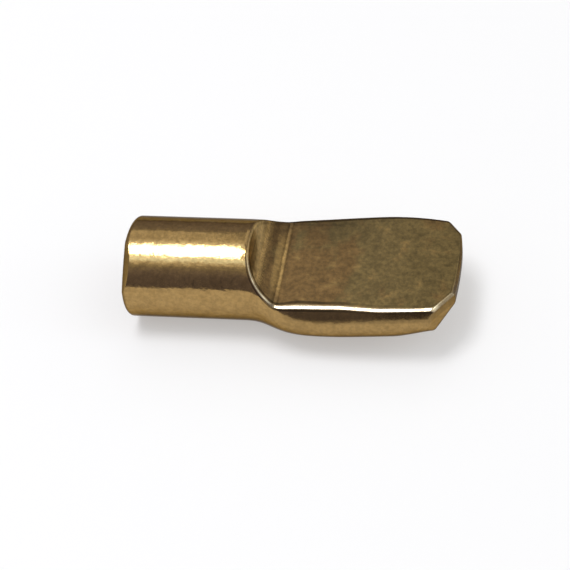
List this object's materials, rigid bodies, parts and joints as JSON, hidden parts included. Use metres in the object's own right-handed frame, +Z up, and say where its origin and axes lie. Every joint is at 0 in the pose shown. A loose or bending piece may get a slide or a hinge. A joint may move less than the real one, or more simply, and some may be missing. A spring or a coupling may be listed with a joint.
{
  "type": "shelf support pin",
  "caption": "Solid brass spoon shelf pin: a round shank that pushes into a cabinet's hole, a scooped shoulder and a flat-topped, bulge-sided paddle that a shelf rests on.",
  "frame": {"origin": "on the shank's axis, at the shoulder's edge where the plain round shank ends", "axes": "+X along the shank's axis towards the paddle's tip, +Z up, out of the flat that the shelf rests on (but for its 3 degree climb), +Y across the paddle"},
  "size_m": [0.0165, 0.0068, 0.005],
  "materials": {
    "brass": "polished"
  },
  "bodies": {
    "root": {"shelf_pin": "brass"}
  },
  "joints": []
}
